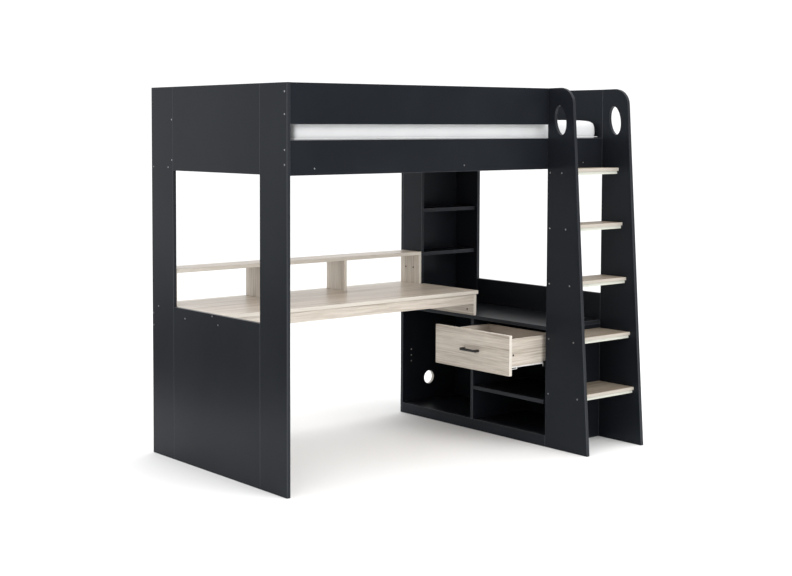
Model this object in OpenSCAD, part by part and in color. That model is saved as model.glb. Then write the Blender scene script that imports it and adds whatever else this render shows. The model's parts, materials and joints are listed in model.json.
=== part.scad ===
// Loft bed with a desk, a low cabinet with one drawer, a corner shelf unit and a step ladder.
// Boards are laminated panels. X runs along the bed, Y towards the wall side, Z up.

/* [Bed] */
// Outside length of the bed
bed_l = 1984; // [1950:1:2050]
// Outside depth of the bed ends, without the ladder
bed_w = 1068; // [1050:1:1100]
// Overall height
bed_h = 1740; // [1700:1:1800]
// Thickness of the laminated boards
board_t = 18; // [16:1:22]
// Width of the post boards at the front of the left end
front_post_w = 194; // [150:1:240]
// Width of the post boards at the wall side
rear_post_w = 186; // [150:1:220]
// Underside of the sleeping deck rails
deck_z = 1352; // [1300:1:1360]
// Height of the side rails
side_rail_h = 148; // [120:1:170]
// Height of the guard rails
guard_rail_h = 174; // [150:1:190]
// Setback of the rails behind the edges of the ends
rail_inset = 8; // [0:1:12]

/* [Mattress and base] */
// Mattress length, width and thickness
mattress_size = [1905, 990, 175];
// Number of slats
slat_n = 13; // [10:1:16]
// Width of one slat
slat_w = 70; // [50:1:90]
// Thickness of one slat
slat_t = 14; // [12:1:18]

/* [Ladder] */
// Reach of the ladder boards in front of the bed at the floor
ladder_foot = 260; // [220:1:300]
// Reach of the ladder boards in front of the bed at the top
ladder_head = 144; // [130:1:170]
// Radius of the top front corner of the ladder boards
ladder_corner_r = 80; // [50:1:90]
// Height of the hand hole
hand_hole_h = 140; // [120:1:160]
// Width of the hand hole
hand_hole_w = 70; // [60:1:90]
// Number of steps
step_n = 5; // [4:1:5]
// Rise between steps
step_rise = 268; // [240:1:268]
// Reach of the lowest tread in front of the bed
tread_foot = 211; // [190:1:225]
// Reach of the highest tread in front of the bed
tread_head = 99; // [80:1:110]

/* [Cabinet and corner shelves] */
// Depth of the cabinet along the bed, from its open face to the outside of the end
cabinet_d = 411; // [380:1:430]
// Height of the cabinet top
cabinet_h = 590; // [570:1:610]
// Height of the plinth
plinth_h = 55; // [45:1:70]
// Wall side face of the cabinet divider, from the front of the bed
divider_y = 525; // [500:1:560]
// Top of the cabinet shelf
shelf_z = 227; // [200:1:260]
// Diameter of the cable hole
cable_hole_d = 72; // [50:1:80]
// Height of the cable hole centre
cable_hole_z = 174; // [150:1:220]
// Depth of the corner shelves and of the raised desk shelf
nook_d = 145; // [130:1:160]
// Tops of the two corner shelves
corner_shelf_z = [886, 1119];

/* [Desk] */
// Height of the desk surface
desk_h = 718; // [700:1:740]
// Front edge of the desk top, from the front of the bed
desk_front_y = 497; // [480:1:520]
// Height of the front apron below the desk top
apron_h = 51; // [40:1:60]
// Height of the raised shelf above the floor
hutch_h = 890; // [860:1:920]

/* [Drawer] */
// Height of the drawer front
drawer_front_h = 194; // [180:1:200]
// Gap above the drawer front
drawer_gap = 7; // [3:1:10]
// Height of the drawer box
drawer_box_h = 134; // [110:1:140]
// Length of the drawer box behind its front
drawer_box_l = 330; // [300:1:350]
// Thickness of the drawer box sides
drawer_side_t = 12; // [12:1:16]
// How far the drawer stands open
drawer_open = 230; // [0:1:250]
// Distance between the handle feet
handle_pitch = 96; // [96:32:160]

/* [Hidden] */

t = board_t;
arris = 0.8;                                  // chamfer on the edges of the boards
loose = 0.15;                                 // play round a screw or dowel
charcoal = [0.15, 0.16, 0.19];
oak = [0.80, 0.75, 0.68];

// Places along the bed
face_x = bed_l - cabinet_d;                   // open face of the cabinet
inner_x = bed_l - t;                          // inner face of the right end
inside_l = bed_l - 2 * t;
// Places across the bed
rail_y = rail_inset;                          // outer face of the front rails
rear_rail_y = bed_w - rail_inset - t;         // inner face of the rear rails
back_y = bed_w - t;                           // inner face of the back boards
nook_y = back_y - nook_d;                     // front of the corner shelves
lower_panel_h = desk_h;                       // top of the lower end panels
panel_w = bed_w - front_post_w - rear_post_w;
rear_post_y = bed_w - rear_post_w;
mid_y = (bed_w - ladder_foot) / 2;            // centre of the footprint

// Sleeping deck
guard_z = bed_h - guard_rail_h;
ledge_h = 36;
ledge_z = deck_z + 10;
slat_z = ledge_z + ledge_h;
bar_x = [151, 1019, 1826];                    // centres of the cross bars
mattress_x = inner_x - 2 - mattress_size[0];

// Ladder
slant = atan((ladder_foot - ladder_head) / bed_h);
step_top = deck_z + 2;
step_t = 15;                                   // treads and bearers
function tread_z(i) = step_top - (step_n - i) * step_rise;
function tread_reach(i) = tread_foot + (tread_head - tread_foot) * (i - 1) / (step_n - 1);
bearer_inset = 9;
hand_hole_z = bed_h - 154;
hand_hole_y = -71;
hand_hole_lean = 9;

// Cabinet
cab_x = face_x + t;                           // back of the ladder board and of the plinth
top_z = cabinet_h - t;
cable_hole_x = 1767;

// Desk and raised shelf
desk_over = 6;                                // overhang of the desk top past its end panel
apron_y = desk_front_y + 8;
desk_under = desk_h - t;
support_pitch = (face_x - 2 * t) / 3;

// Drawer, measured with the drawer shut and then moved out by drawer_open
front_x = face_x - t;
front_y = 10;
front_w = divider_y - 3 - front_y;
front_z = top_z - drawer_gap - drawer_front_h;
bay_y = rail_y + t;                           // wall of the drawer bay next to the ladder
bay_w = divider_y - t - bay_y;
runner_gap = 12.5;
box_y = bay_y + runner_gap;
box_w = bay_w - 2 * runner_gap;
box_z = front_z + 36;
steel_t = 1.2;
roller_r = 8;
roller_w = 7;
axle_r = 2;
axle_play = 0.05;
roller_z = box_z - steel_t - 0.3 - roller_r;  // axis of every roller
lip_z = roller_z - roller_r - 0.3 - steel_t;  // bottom lip of the cabinet runners
cabinet_roller_x = face_x + 16;
drawer_roller_x = face_x + drawer_box_l - 14;

cam_r = 5;
cam_depth = 8;
screw_r = 3.5;
shank_r = 2.4;
screw_l = 50;
hutch_screw_l = 32;
cap_l = 3;
lock_depth = 12;
screw_proud = 0.3;

module placed() translate([-bed_l / 2, -mid_y, 0]) children();

// Outline of a board face with chamfered corners
module chamfered(a, b, e) polygon([
    [e, 0], [a - e, 0], [a, e], [a, b - e], [a - e, b], [e, b], [0, b - e], [0, e]
]);

// A board from its lowest corner and its size, with a small chamfer on all twelve edges
module board(p, s, e = arris) translate(p) intersection() {
    linear_extrude(s[2]) chamfered(s[0], s[1], e);
    rotate([90, 0, 90]) linear_extrude(s[0]) chamfered(s[1], s[2], e);
    translate([0, s[1], 0]) rotate([90, 0, 0]) linear_extrude(s[1]) chamfered(s[0], s[2], e);
}

module ellipse(w, h) polygon([for (a = [0 : 5 : 355]) [w / 2 * cos(a), h / 2 * sin(a)]]);

// ---- Screws and dowels ----

// A screw that goes in along +X from its head, with a thick neck in the first board
module screw_x(p, grow = 0, l = screw_l) translate(p - [screw_proud, 0, 0]) rotate([0, 90, 0]) {
    cylinder(r = screw_r + grow, h = t + screw_proud, $fn = 32);
    cylinder(r = shank_r + grow, h = l, $fn = 32);
}
module screw_back_x(p, grow = 0) translate(p) mirror([1, 0, 0]) screw_x([0, 0, 0], grow);
module screw_y(p, grow = 0) translate(p) rotate([0, 0, 90]) screw_x([0, 0, 0], grow);
module screw_back_y(p, grow = 0) translate(p) rotate([0, 0, -90]) screw_x([0, 0, 0], grow);

// Screw places [y, z] on the outer face of the left end
left_screws = [
    [rail_y + t / 2, guard_z + 42], [rail_y + t / 2, bed_h - 38],
    [rail_y + t / 2, deck_z + 46], [rail_y + t / 2, deck_z + 108],
    [rear_rail_y + t / 2, deck_z + 16],
    [back_y + t / 2, desk_under - 27], [back_y + t / 2, desk_under - 85],
    [1014, desk_under + t / 2], [560, desk_under + t / 2],
    [784, desk_under - 26], [apron_y + t / 2, desk_under - 26]
];
// Places [y, z] of the short locking discs in the outer face of the left rear post
left_locks = [
    [rear_post_y + 9, guard_z + 23], [rear_post_y + 9, deck_z + 50], [rear_post_y + 41, deck_z + 16]
];
// Screw places [y, z] on the outer face of the right end
right_screws = [
    [rail_y + t / 2, deck_z + 46], [rail_y + t / 2, deck_z + 108],
    [rear_rail_y + t / 2, guard_z + 34], [rear_rail_y + t / 2, bed_h - 34],
    [rear_rail_y + t / 2, deck_z + 46], [rear_rail_y + t / 2, deck_z + 108],
    [200, top_z + t / 2], [700, top_z + t / 2], [200, plinth_h - t / 2], [700, plinth_h - t / 2],
    [rail_y + t / 2, 300], [divider_y - t / 2, 300], [back_y + t / 2, 300],
    [back_y + t / 2, 980], [nook_y + 50, corner_shelf_z[0] - t / 2],
    [nook_y + 50, corner_shelf_z[1] - t / 2]
];

module left_end_screws(grow = 0) for (s = left_screws) screw_x([0, s[0], s[1]], grow);
module left_lock_discs(grow = 0) for (s = left_locks) translate([-screw_proud, s[0], s[1]])
    rotate([0, 90, 0]) cylinder(r = screw_r + grow, h = lock_depth + grow, $fn = 32);
module right_end_screws(grow = 0) for (s = right_screws) screw_back_x([bed_l, s[0], s[1]], grow);

// Two screws through a ladder board into the end of each bearer
module step_screws(x, side, grow = 0) for (i = [1 : step_n]) {
    z = tread_z(i) - step_t - 4;
    for (y = [rail_y - 18, -tread_reach(i) + bearer_inset + 7])
        if (side < 0) screw_x([x, y, z], grow); else screw_back_x([x, y, z], grow);
}
module bar_screws(grow = 0) for (x = bar_x) {
    screw_y([x, rail_y, ledge_z + ledge_h / 2], grow);
    screw_back_y([x, rear_rail_y + t, ledge_z + ledge_h / 2], grow);
}
// From inside the bed, through the front rails into the back edge of the left ladder board
module ladder_screws(grow = 0) for (z = [deck_z + 75, deck_z + 120, guard_z + 34, bed_h - 34])
    screw_back_y([face_x + t / 2, rail_y + t, z], grow);
module hutch_screws(grow = 0) for (y = [nook_y + 44, nook_y + 103]) {
    p = [face_x - t, y, desk_h + 86];
    screw_x(p, grow, hutch_screw_l);
    translate(p - [screw_proud, 0, 0]) rotate([0, 90, 0])
        cylinder(r = cam_r + grow, h = cap_l + grow, $fn = 32);
}
// Cam locks that hold the end panel of the desk down on the cabinet
module desk_cam_set(grow = 0) for (y = [apron_y + 48, back_y - 60])
    translate([face_x - screw_proud, y, cabinet_h + 28]) rotate([0, 90, 0])
        cylinder(r = cam_r + grow, h = cam_depth + grow, $fn = 32);

// A dowel across each seam of the end panels
module dowel_y(p, grow = 0) translate(p - [0, 17.5, 0]) rotate([-90, 0, 0])
    cylinder(r = 4 + grow, h = 35, $fn = 32);
module left_dowels(grow = 0) for (y = [front_post_w, rear_post_y], z = [150, 560, 1420, 1680])
    dowel_y([t / 2, y, z], grow);
module right_dowels(grow = 0) for (y = [rail_y, rear_post_y], z = [180, 470, 1440, 1700])
    dowel_y([bed_l - t / 2, y, z], grow);

module panel_screws() color("lightgray") placed() {
    left_end_screws();
    left_lock_discs();
    right_end_screws();
    step_screws(face_x, -1);
    step_screws(bed_l, 1);
    bar_screws();
    ladder_screws();
}
module desk_fasteners() color("dimgray") placed() {
    desk_cam_set();
    hutch_screws();
}
module panel_dowels() color("burlywood") placed() {
    left_dowels();
    right_dowels();
}

// ---- Ends ----

module left_board(y, z, w, h) color(charcoal) placed() difference() {
    board([0, y, z], [t, w, h]);
    left_end_screws(loose);
    left_lock_discs(loose);
    left_dowels(loose);
}
module left_rear_post() left_board(rear_post_y, 0, rear_post_w, bed_h);
module left_front_post() left_board(0, 0, front_post_w, bed_h);
module left_upper_panel() left_board(front_post_w, deck_z + 1, panel_w, bed_h - deck_z - 1);
module left_lower_panel() left_board(front_post_w, 0, panel_w, lower_panel_h);

module right_board(y, z, w, h) color(charcoal) placed() difference() {
    board([inner_x, y, z], [t, w, h]);
    right_end_screws(loose);
    right_dowels(loose);
}
module right_rear_post() right_board(rear_post_y, 0, rear_post_w, bed_h);
module right_upper_panel() right_board(rail_y, deck_z + 1, rear_post_y - rail_y, bed_h - deck_z - 1);
module right_lower_panel() right_board(rail_y, 0, rear_post_y - rail_y, lower_panel_h + 6);

// ---- Ladder ----

// Side view of a ladder board: upright at the back, slanted in front, round at the top
module ladder_outline() {
    cz = bed_h - ladder_corner_r;
    cy = -ladder_foot + cz * tan(slant) + ladder_corner_r / cos(slant);
    tangent = [cy - ladder_corner_r * cos(slant), cz + ladder_corner_r * sin(slant)];
    difference() {
        union() {
            polygon([[rail_y, 0], [rail_y, bed_h], [cy, bed_h], [cy, cz], tangent, [-ladder_foot, 0]]);
            intersection() {
                translate([cy, cz]) circle(r = ladder_corner_r, $fn = 96);
                translate([cy - ladder_corner_r, cz]) square(ladder_corner_r);
            }
        }
        translate([hand_hole_y, hand_hole_z]) rotate(-hand_hole_lean) ellipse(hand_hole_w, hand_hole_h);
    }
}
module ladder_board(x) translate([x, 0, 0]) rotate([90, 0, 90]) linear_extrude(t) ladder_outline();
module ladder_left_board() color(charcoal) placed() difference() {
    ladder_board(face_x);
    step_screws(face_x, -1, loose);
    ladder_screws(loose);
}
module ladder_right_board() color(charcoal) placed() difference() {
    ladder_board(inner_x);
    step_screws(bed_l, 1, loose);
    right_dowels(loose);
}

module step_tread(i) color([0.66, 0.58, 0.50]) placed()
    board([cab_x, -tread_reach(i), tread_z(i) - step_t],
          [inner_x - cab_x, tread_reach(i) + rail_y, step_t]);
module step_tread_1() step_tread(1);
module step_tread_2() step_tread(2);
module step_tread_3() step_tread(3);
module step_tread_4() step_tread(4);
module step_tread_5() step_tread(5);

module step_bearer(i) color([0.86, 0.84, 0.78]) placed() difference() {
    board([cab_x, bearer_inset - tread_reach(i), tread_z(i) - 2 * step_t],
          [inner_x - cab_x, tread_reach(i) - bearer_inset + rail_y, step_t]);
    step_screws(face_x, -1, loose);
    step_screws(bed_l, 1, loose);
}
module step_bearer_1() step_bearer(1);
module step_bearer_2() step_bearer(2);
module step_bearer_3() step_bearer(3);
module step_bearer_4() step_bearer(4);
module step_bearer_5() step_bearer(5);

// ---- Rails and bed base ----

module rail(y, z, h, end_x) color(charcoal) placed() difference() {
    board([t, y, z], [end_x - t, t, h]);
    left_end_screws(loose);
    right_end_screws(loose);
    bar_screws(loose);
    ladder_screws(loose);
}
module front_guard_rail() rail(rail_y, guard_z, guard_rail_h, cab_x);
module front_side_rail() rail(rail_y, deck_z, side_rail_h, inner_x);
module rear_guard_rail() rail(rear_rail_y, guard_z, guard_rail_h, inner_x);
module rear_side_rail() rail(rear_rail_y, deck_z, side_rail_h, inner_x);

module slat_ledges() color("burlywood") placed() difference() {
    for (y = [rail_y + t, rear_rail_y - t]) board([t, y, ledge_z], [inside_l, t, ledge_h]);
    bar_screws(loose);
}
module cross_bars() color("burlywood") placed() difference() {
    for (x = bar_x) board([x - t / 2, rail_y + 2 * t, ledge_z], [t, rear_rail_y - rail_y - 3 * t, ledge_h]);
    bar_screws(loose);
}
module bed_slats() color("burlywood") placed() {
    pitch = inside_l / slat_n;
    for (i = [0 : slat_n - 1])
        board([t + (i + 0.5) * pitch - slat_w / 2, rail_y + t + 2, slat_z],
              [slat_w, rear_rail_y - rail_y - t - 4, slat_t]);
}
module mattress() color("whitesmoke") placed()
    board([mattress_x, rail_y + t + 2, slat_z + slat_t + 0.3], mattress_size, 12);

// ---- Cabinet ----

module cabinet_top() color(charcoal) placed() difference() {
    board([face_x, rail_y, top_z], [inner_x - face_x, bed_w - rail_y, t]);
    right_end_screws(loose);
}
module cabinet_bottom() color(charcoal) placed() difference() {
    board([cab_x, rail_y + t, plinth_h - t], [inner_x - cab_x, back_y - rail_y - t, t]);
    right_end_screws(loose);
}
module cabinet_divider() color(charcoal) placed() difference() {
    board([face_x, divider_y - t, plinth_h], [inner_x - face_x, t, top_z - plinth_h]);
    right_end_screws(loose);
}
module cabinet_rear_side() color(charcoal) placed() difference() {
    board([face_x, back_y, 0], [inner_x - face_x, t, top_z]);
    right_end_screws(loose);
    translate([cable_hole_x, back_y - 1, cable_hole_z]) rotate([-90, 0, 0])
        cylinder(d = cable_hole_d, h = t + 2, $fn = 96);
    for (i = [-1 : 1]) translate([face_x + 62, back_y - 1, 309 + 32 * i]) rotate([-90, 0, 0])
        cylinder(r = 2.5, h = 11, $fn = 24);
}
module cabinet_front_side() color(charcoal) placed() difference() {
    board([cab_x, rail_y, 0], [inner_x - cab_x, t, top_z]);
    right_end_screws(loose);
}
module cabinet_plinth() color(charcoal) placed()
    board([face_x, rail_y, 0], [t, back_y - rail_y, plinth_h]);
module cabinet_shelf() color(charcoal) placed()
    board([cab_x - t + 2, bay_y, shelf_z - t], [inner_x - cab_x + t - 2, bay_w, t]);

// ---- Corner shelf unit ----

module corner_post() color(charcoal) placed() difference() {
    board([face_x, nook_y, desk_h], [t, nook_d, deck_z - desk_h]);
    hutch_screws(loose);
}
module corner_back() color(charcoal) placed() difference() {
    board([face_x, back_y, cabinet_h], [inner_x - face_x, t, deck_z - cabinet_h]);
    right_end_screws(loose);
}
module corner_shelf(z) color(charcoal) placed() difference() {
    board([cab_x, nook_y, z - t], [inner_x - cab_x, nook_d, t]);
    right_end_screws(loose);
}
module corner_shelf_lower() corner_shelf(corner_shelf_z[0]);
module corner_shelf_upper() corner_shelf(corner_shelf_z[1]);

// ---- Desk ----

module desk_top() color(oak) placed() difference() {
    board([t, desk_front_y, desk_under], [cab_x + desk_over - t, back_y - desk_front_y, t]);
    left_end_screws(loose);
}
module desk_front_apron() color(oak) placed() difference() {
    board([t, apron_y, desk_under - apron_h], [face_x - t, t, apron_h]);
    left_end_screws(loose);
}
module desk_rear_apron() color(oak) placed() difference() {
    board([t, back_y, cabinet_h], [face_x - t, t, desk_h - cabinet_h]);
    left_end_screws(loose);
}
module desk_end_panel() color(oak) placed() difference() {
    board([face_x, apron_y, cabinet_h], [t, back_y - apron_y, desk_under - cabinet_h]);
    desk_cam_set(loose);
}
module desk_cleat() color(oak) placed() difference() {
    board([t, apron_y + t, desk_under - apron_h], [2 * t, back_y - apron_y - t, apron_h]);
    left_end_screws(loose);
}
module hutch_shelf() color(oak) placed()
    board([t, nook_y, hutch_h - t], [face_x - t, nook_d, t]);
module hutch_supports() color(oak) placed() difference() {
    for (i = [0 : 3]) board([t + i * support_pitch, nook_y, desk_h], [t, nook_d, hutch_h - t - desk_h]);
    hutch_screws(loose);
}

// ---- Drawer ----

module in_drawer() placed() translate([-drawer_open, 0, 0]) children();

module drawer_front() color(oak) in_drawer()
    board([front_x, front_y, front_z], [t, front_w, drawer_front_h]);
module drawer_side(y) color(oak) in_drawer() difference() {
    board([face_x, y, box_z], [drawer_box_l, drawer_side_t, drawer_box_h]);
    translate([face_x - 1, box_y + drawer_side_t - 6, box_z + 10])
        cube([drawer_box_l + 2, box_w - 2 * drawer_side_t + 12, 4.2]);
    drawer_cam_set(loose);
}
module drawer_right_side() drawer_side(box_y);
module drawer_left_side() drawer_side(box_y + box_w - drawer_side_t);
module drawer_back() color(oak) in_drawer() difference() {
    board([face_x + drawer_box_l - drawer_side_t, box_y + drawer_side_t, box_z],
          [drawer_side_t, box_w - 2 * drawer_side_t, drawer_box_h]);
    translate([face_x + drawer_box_l - drawer_side_t - 1, box_y, box_z + 10]) cube([7, box_w, 4.2]);
}
module drawer_bottom() color("tan") in_drawer()
    translate([face_x + 0.5, box_y + drawer_side_t - 5.5, box_z + 10.1])
        cube([drawer_box_l - drawer_side_t + 5, box_w - 2 * drawer_side_t + 11, 4]);

// Cam locks that pull the drawer sides to the front
module drawer_cam_set(grow = 0) for (y = [box_y, box_y + box_w])
    translate([face_x + 38, y, box_z + 56]) rotate([y > box_y ? 90 : -90, 0, 0])
        translate([0, 0, -0.2]) cylinder(r = cam_r + grow, h = cam_depth + grow, $fn = 32);
module drawer_cams() color("dimgray") in_drawer() drawer_cam_set();

// A flat bar handle with a square foot at each end
module drawer_handle() color([0.05, 0.05, 0.05]) in_drawer() {
    bar_h = 12;
    bar_t = 8;
    reach = 30;
    bar_l = handle_pitch + bar_h;
    translate([front_x - reach, front_y + (front_w - bar_l) / 2, front_z + (drawer_front_h - bar_h) / 2]) {
        cube([bar_t, bar_l, bar_h]);
        for (y = [0, handle_pitch]) translate([0, y, 0]) cube([reach, bar_h, bar_h]);
    }
}

// ---- Runners, drawn for the side next to the ladder and mirrored for the other ----

module both_sides() {
    children();
    translate([0, 2 * bay_y + bay_w, 0]) mirror([0, 1, 0]) children();
}
module axle(x, y, l) translate([x, y, roller_z]) rotate([-90, 0, 0]) cylinder(r = axle_r, h = l, $fn = 32);
module roller(x, y) translate([x, y, roller_z]) rotate([-90, 0, 0]) difference() {
    cylinder(r = roller_r, h = roller_w, $fn = 64);
    translate([0, 0, -1]) cylinder(r = axle_r + axle_play, h = roller_w + 2, $fn = 32);
}
module cabinet_runners() color("silver") placed() both_sides() {
    translate([face_x + 3, bay_y, lip_z]) cube([drawer_box_l + 14, steel_t, 30]);
    translate([face_x + 3, bay_y, lip_z]) cube([drawer_box_l + 14, 10.6, steel_t]);
    axle(cabinet_roller_x, bay_y + steel_t - 0.2, 9.6);
}
module drawer_runners() color("silver") in_drawer() both_sides() {
    web_y = box_y - steel_t;
    front_l = 62;
    leg = 5;
    strip_h = 3.5;
    drop = 12;
    translate([face_x + 2, web_y, box_z - steel_t]) cube([drawer_box_l - 2, steel_t, 3]);
    translate([face_x + 2, web_y, box_z - drop]) cube([front_l, steel_t, strip_h]);
    for (x = [2, 2 + front_l - leg]) translate([face_x + x, web_y, box_z - drop])
        cube([leg, steel_t, drop]);
    translate([face_x + 2, bay_y + 1.8, box_z - steel_t])
        cube([drawer_box_l - 2, runner_gap - 1.8 + drawer_side_t - 1, steel_t]);
    translate([drawer_roller_x - 8, web_y, lip_z + steel_t + 4])
        cube([16, steel_t, box_z - lip_z - 4 - steel_t]);
    axle(drawer_roller_x, bay_y + 2.2, 9.3);
}
module cabinet_rollers() color("whitesmoke") placed() both_sides() roller(cabinet_roller_x, bay_y + 2.6);
module drawer_rollers() color("whitesmoke") in_drawer() both_sides() roller(drawer_roller_x, bay_y + 2.6);

left_rear_post();
left_front_post();
left_upper_panel();
left_lower_panel();
right_rear_post();
right_upper_panel();
right_lower_panel();
ladder_left_board();
ladder_right_board();
step_tread_1();
step_tread_2();
step_tread_3();
step_tread_4();
step_tread_5();
step_bearer_1();
step_bearer_2();
step_bearer_3();
step_bearer_4();
step_bearer_5();
front_guard_rail();
front_side_rail();
rear_guard_rail();
rear_side_rail();
slat_ledges();
cross_bars();
bed_slats();
mattress();
cabinet_top();
cabinet_bottom();
cabinet_divider();
cabinet_rear_side();
cabinet_front_side();
cabinet_plinth();
cabinet_shelf();
corner_post();
corner_back();
corner_shelf_upper();
corner_shelf_lower();
desk_top();
desk_front_apron();
desk_rear_apron();
desk_end_panel();
desk_cleat();
hutch_shelf();
hutch_supports();
drawer_front();
drawer_left_side();
drawer_right_side();
drawer_back();
drawer_bottom();
drawer_handle();
drawer_runners();
cabinet_runners();
drawer_rollers();
cabinet_rollers();
panel_screws();
panel_dowels();
desk_fasteners();
drawer_cams();
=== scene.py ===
"""Looks for a loft bed with a desk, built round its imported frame.

Every board, runner and screw of the frame keeps its shape and gets a procedural finish. The
mattress, the ladder boards and the drawer handle are made again here with softer forms. Lengths are
in metres.
"""

import json
import logging
import math
from dataclasses import dataclass, field
from enum import Enum
from typing import Any, Optional, Union

import bmesh
import bpy
import numpy as np
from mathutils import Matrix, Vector

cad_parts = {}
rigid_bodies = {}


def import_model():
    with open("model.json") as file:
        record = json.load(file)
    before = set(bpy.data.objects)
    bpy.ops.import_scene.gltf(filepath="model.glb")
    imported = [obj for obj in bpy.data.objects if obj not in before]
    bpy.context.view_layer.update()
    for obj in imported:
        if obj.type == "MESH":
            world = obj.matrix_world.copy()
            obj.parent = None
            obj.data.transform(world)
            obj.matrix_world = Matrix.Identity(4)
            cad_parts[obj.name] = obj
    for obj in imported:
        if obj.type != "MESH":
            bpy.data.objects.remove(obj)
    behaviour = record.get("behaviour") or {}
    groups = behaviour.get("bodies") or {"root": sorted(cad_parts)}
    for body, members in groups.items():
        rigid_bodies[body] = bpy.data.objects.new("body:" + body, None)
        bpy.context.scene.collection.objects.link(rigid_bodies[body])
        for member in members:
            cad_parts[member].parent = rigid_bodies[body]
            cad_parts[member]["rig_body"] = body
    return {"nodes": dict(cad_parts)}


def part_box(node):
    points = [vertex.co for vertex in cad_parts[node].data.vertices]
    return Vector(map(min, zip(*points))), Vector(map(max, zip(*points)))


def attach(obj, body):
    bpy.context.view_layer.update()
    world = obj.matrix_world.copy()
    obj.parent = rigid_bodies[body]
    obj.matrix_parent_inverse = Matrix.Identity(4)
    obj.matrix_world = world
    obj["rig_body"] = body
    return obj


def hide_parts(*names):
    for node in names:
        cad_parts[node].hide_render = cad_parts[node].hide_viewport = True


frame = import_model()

LOG = logging.getLogger("loft_bed")
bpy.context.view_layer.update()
Triple = tuple[float, float, float]
Colour = Triple


class Axis(Enum):
    """An axis of the row frame, by its place in a vector."""

    X = 0
    Y = 1
    Z = 2


# ---------------------------------------------------------------- shader graph


class Wire:
    """A value socket of a shader graph, with arithmetic that adds Math nodes."""

    def __init__(self, graph: "Graph", socket: bpy.types.NodeSocket) -> None:
        """Wrap a socket.

        Args:
            graph: The graph that the socket belongs to.
            socket: The output socket.
        """
        self.graph = graph
        self.socket = socket

    def math(self, operation: str, *others: "Operand", swap: bool = False) -> "Wire":
        """Add one Math node.

        Args:
            operation: The node's operation.
            others: The operands after this one.
            swap: Whether this wire is the second operand.

        Returns:
            The node's result.
        """
        operands = [*others, self] if swap else [self, *others]
        return self.graph.add(
            "ShaderNodeMath", {"operation": operation}, dict(enumerate(operands)), 0
        )

    def __add__(self, other: "Operand") -> "Wire":
        """Return this plus other."""
        return self.math("ADD", other)

    def __radd__(self, other: "Operand") -> "Wire":
        """Return other plus this."""
        return self.math("ADD", other, swap=True)

    def __sub__(self, other: "Operand") -> "Wire":
        """Return this minus other."""
        return self.math("SUBTRACT", other)

    def __rsub__(self, other: "Operand") -> "Wire":
        """Return other minus this."""
        return self.math("SUBTRACT", other, swap=True)

    def __mul__(self, other: "Operand") -> "Wire":
        """Return this times other."""
        return self.math("MULTIPLY", other)

    def __rmul__(self, other: "Operand") -> "Wire":
        """Return other times this."""
        return self.math("MULTIPLY", other, swap=True)

    def __truediv__(self, other: "Operand") -> "Wire":
        """Return this over other."""
        return self.math("DIVIDE", other)

    def __rtruediv__(self, other: "Operand") -> "Wire":
        """Return other over this."""
        return self.math("DIVIDE", other, swap=True)

    def __pow__(self, other: "Operand") -> "Wire":
        """Return this to the power other."""
        return self.math("POWER", other)

    def __abs__(self) -> "Wire":
        """Return the size of this without its sign."""
        return self.math("ABSOLUTE")

    def sine(self) -> "Wire":
        """Return the sine of this, in radians."""
        return self.math("SINE")

    def step(self, low: float, high: float) -> "Wire":
        """Rise smoothly from 0 at low to 1 at high.

        Args:
            low: Where the rise starts.
            high: Where the rise ends. It may be below low, and then the step falls.

        Returns:
            The smooth step.
        """
        return self.graph.add(
            "ShaderNodeMapRange",
            {"interpolation_type": "SMOOTHSTEP"},
            {"Value": self, "From Min": low, "From Max": high},
            "Result",
        )


Operand = Union[Wire, float]


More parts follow.
